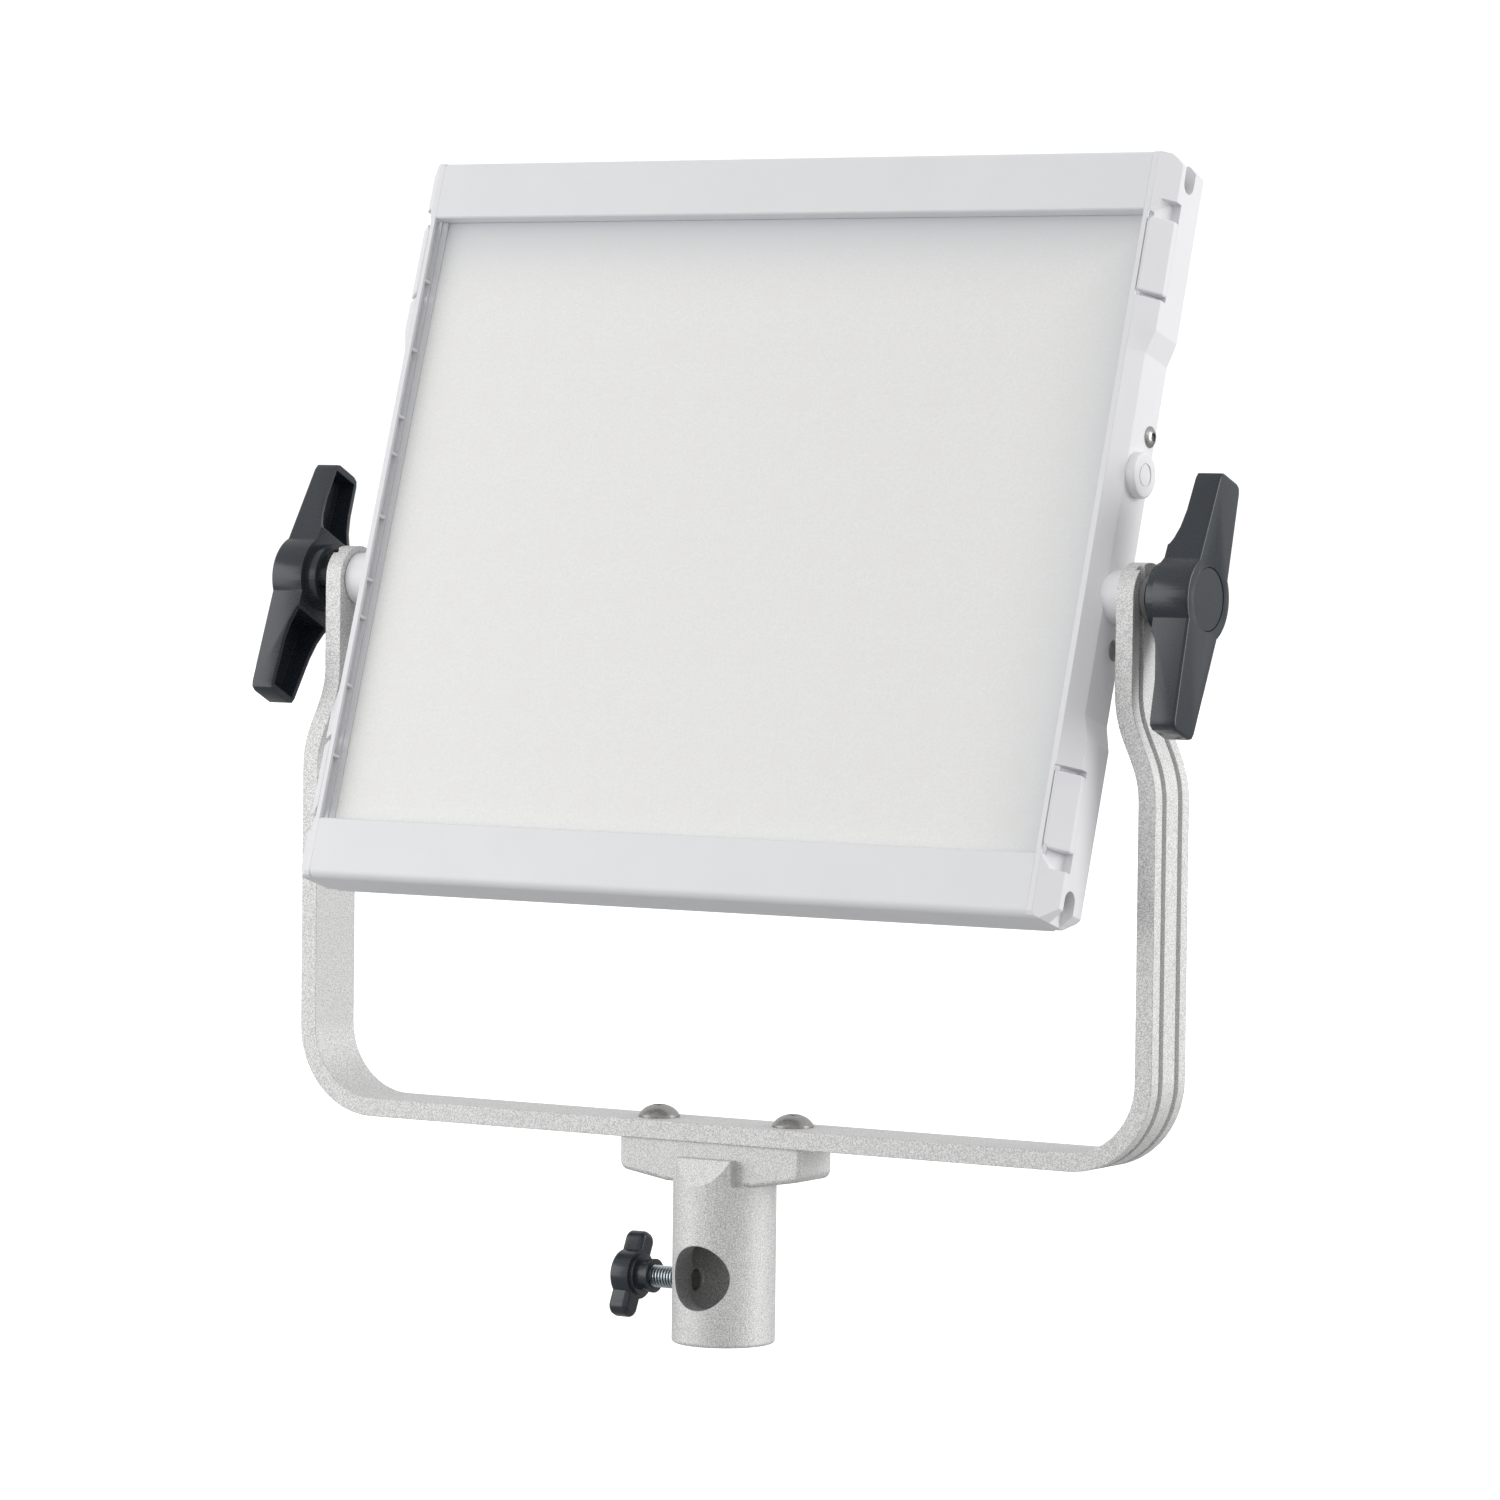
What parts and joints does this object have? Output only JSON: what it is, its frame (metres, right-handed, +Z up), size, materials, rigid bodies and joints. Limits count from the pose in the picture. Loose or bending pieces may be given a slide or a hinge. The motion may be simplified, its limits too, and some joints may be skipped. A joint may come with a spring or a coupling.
{
  "type": "led panel light",
  "caption": "Soft LED panel with a frosted diffuser in a white frame, tilting in a U-yoke with T-handle clamps above a spigot socket.",
  "frame": {"origin": "centre of the stand socket's mouth, on the socket axis", "axes": "+Z up along the socket into the light, +Y towards the back of the light, +X to the right seen from in front, along the tilt axis"},
  "size_m": [0.475, 0.1294, 0.5257],
  "materials": {
    "cast_silver": "bead blasted, satin clear coat",
    "bolt_steel": "bright machined steel",
    "pad_steel": "turned",
    "zinc_steel": "zinc plated",
    "slate_plastic": "satin glass-filled nylon",
    "white_paint": "white satin powder coat on extruded aluminium",
    "white_plastic": "satin moulding",
    "vent_plastic": "satin moulding",
    "ledge_plastic": "satin moulding",
    "frosted_acrylic": "fine frosted diffuser sheet",
    "board_white": "white solder mask on aluminium core",
    "led_phosphor": "phosphor coated emitters",
    "heatsink_aluminium": "white coated",
    "fascia_plastic": "fine texture",
    "display_glass": "black acrylic window",
    "dial_plastic": "knurled grip",
    "button_rubber": "moulded silicone",
    "button_plastic": "satin",
    "connector_black": "satin",
    "connector_steel": "nickel plated shell",
    "circuit_board": "green solder mask",
    "washer_nylon": "smooth nylon"
  },
  "bodies": {
    "yoke": {"yoke_bar": "cast_silver", "spigot_socket": "cast_silver", "socket_bolts": "bolt_steel"},
    "clamp_tip": {"clamp_pad": "pad_steel"},
    "clamp_screw": {"clamp_stud": "zinc_steel", "clamp_knob": "slate_plastic"},
    "tilt_washer_right": {"tilt_washer_right": "washer_nylon"},
    "tilt_handle_right": {"tilt_knob_right": "slate_plastic", "tilt_stud_right": "zinc_steel", "tilt_cover_right": "slate_plastic"},
    "tilt_washer_left": {"tilt_washer_left": "washer_nylon"},
    "tilt_handle_left": {"tilt_knob_left": "slate_plastic", "tilt_stud_left": "zinc_steel", "tilt_cover_left": "slate_plastic"},
    "latch_upper_right_body": {"latch_upper_right": "white_plastic"},
    "latch_upper_left_body": {"latch_upper_left": "white_plastic"},
    "latch_lower_right_body": {"latch_lower_right": "white_plastic"},
    "latch_lower_left_body": {"latch_lower_left": "white_plastic"},
    "dimmer_dial_body": {"dimmer_dial": "dial_plastic"},
    "colour_dial_body": {"colour_dial": "dial_plastic"},
    "menu_button_body": {"menu_button": "button_rubber"},
    "mode_button_body": {"mode_button": "button_rubber"},
    "back_button_body": {"back_button": "button_rubber"},
    "power_rocker_body": {"power_rocker": "button_plastic"},
    "head": {"top_rail": "white_paint", "bottom_rail": "white_paint", "right_end_cap": "white_plastic", "left_end_cap": "white_plastic", "cap_screws": "bolt_steel", "corner_screws": "bolt_steel", "vent_plug": "vent_plastic", "diffuser_ledges": "ledge_plastic", "diffuser": "frosted_acrylic", "led_board": "board_white", "leds": "led_phosphor", "rear_heatsink": "heatsink_aluminium", "control_box": "white_plastic", "control_fascia": "fascia_plastic", "display_window": "display_glass", "fascia_screws": "bolt_steel", "power_switch_housing": "fascia_plastic", "power_inlet": "connector_black", "data_in_socket": "connector_steel", "data_out_socket": "connector_steel", "control_board": "circuit_board", "driver_board": "circuit_board", "trunnion_bush_right": "zinc_steel", "trunnion_bush_left": "zinc_steel"}
  },
  "joints": [
    {"name": "head_tilt", "type": "hinge", "parent": "yoke", "child": "head", "pos_m": [0, 0, 0.3345], "axis": [1, 0, 0], "range_deg": [-72.3, 107.7]},
    {"name": "clamp_advance", "type": "slide", "parent": "yoke", "child": "clamp_tip", "axis": [1, 0, 0], "range_m": [0, 0.012]},
    {"name": "clamp_turn", "type": "hinge", "parent": "clamp_tip", "child": "clamp_screw", "pos_m": [-0.045, 0, 0.0265], "axis": [1, 0, 0], "range_deg": [0, 2880.5]},
    {"name": "tilt_release_right", "type": "slide", "parent": "head", "child": "tilt_washer_right", "axis": [1, 0, 0], "range_m": [0, 0.0015]},
    {"name": "tilt_turn_right", "type": "hinge", "parent": "tilt_washer_right", "child": "tilt_handle_right", "pos_m": [0.2125, 0, 0.3345], "axis": [1, 0, 0], "range_deg": [0, 360.5]},
    {"name": "tilt_release_left", "type": "slide", "parent": "head", "child": "tilt_washer_left", "axis": [-1, 0, 0], "range_m": [0, 0.0015]},
    {"name": "tilt_turn_left", "type": "hinge", "parent": "tilt_washer_left", "child": "tilt_handle_left", "pos_m": [-0.2125, 0, 0.3345], "axis": [-1, 0, 0], "range_deg": [0, 360.5]},
    {"name": "latch_upper_right_slide", "type": "slide", "parent": "head", "child": "latch_upper_right_body", "axis": [0, 0.304, 0.9527], "range_m": [0, 0.005]},
    {"name": "latch_upper_left_slide", "type": "slide", "parent": "head", "child": "latch_upper_left_body", "axis": [0, 0.304, 0.9527], "range_m": [0, 0.005]},
    {"name": "latch_lower_right_slide", "type": "slide", "parent": "head", "child": "latch_lower_right_body", "axis": [0, -0.304, -0.9527], "range_m": [0, 0.005]},
    {"name": "latch_lower_left_slide", "type": "slide", "parent": "head", "child": "latch_lower_left_body", "axis": [0, -0.304, -0.9527], "range_m": [0, 0.005]},
    {"name": "dimmer_dial_spin", "type": "hinge", "parent": "head", "child": "dimmer_dial_body", "pos_m": [0.042, 0.05619, 0.36454], "axis": [0, 0.9527, -0.304], "continuous": true},
    {"name": "colour_dial_spin", "type": "hinge", "parent": "head", "child": "colour_dial_body", "pos_m": [0.07, 0.05619, 0.36454], "axis": [0, 0.9527, -0.304], "continuous": true},
    {"name": "menu_button_press", "type": "slide", "parent": "head", "child": "menu_button_body", "axis": [0, -0.9527, 0.304], "range_m": [0, 0.001], "stiffness_N_per_m": 400, "springref_m": -0.0005},
    {"name": "mode_button_press", "type": "slide", "parent": "head", "child": "mode_button_body", "axis": [0, -0.9527, 0.304], "range_m": [0, 0.001], "stiffness_N_per_m": 400, "springref_m": -0.0005},
    {"name": "back_button_press", "type": "slide", "parent": "head", "child": "back_button_body", "axis": [0, -0.9527, 0.304], "range_m": [0, 0.001], "stiffness_N_per_m": 400, "springref_m": -0.0005},
    {"name": "power_rocker_tip", "type": "hinge", "parent": "head", "child": "power_rocker_body", "pos_m": [-0.064, 0.04004, 0.31721], "axis": [0, 0.304, 0.9527], "range_deg": [0, 19.6]}
  ],
  "couplings": [
    {"joint": "clamp_turn", "follows": "clamp_advance", "rad_per_m": 4188.8},
    {"joint": "tilt_turn_right", "follows": "tilt_release_right", "rad_per_m": 4188.8},
    {"joint": "tilt_turn_left", "follows": "tilt_release_left", "rad_per_m": 4188.8}
  ]
}
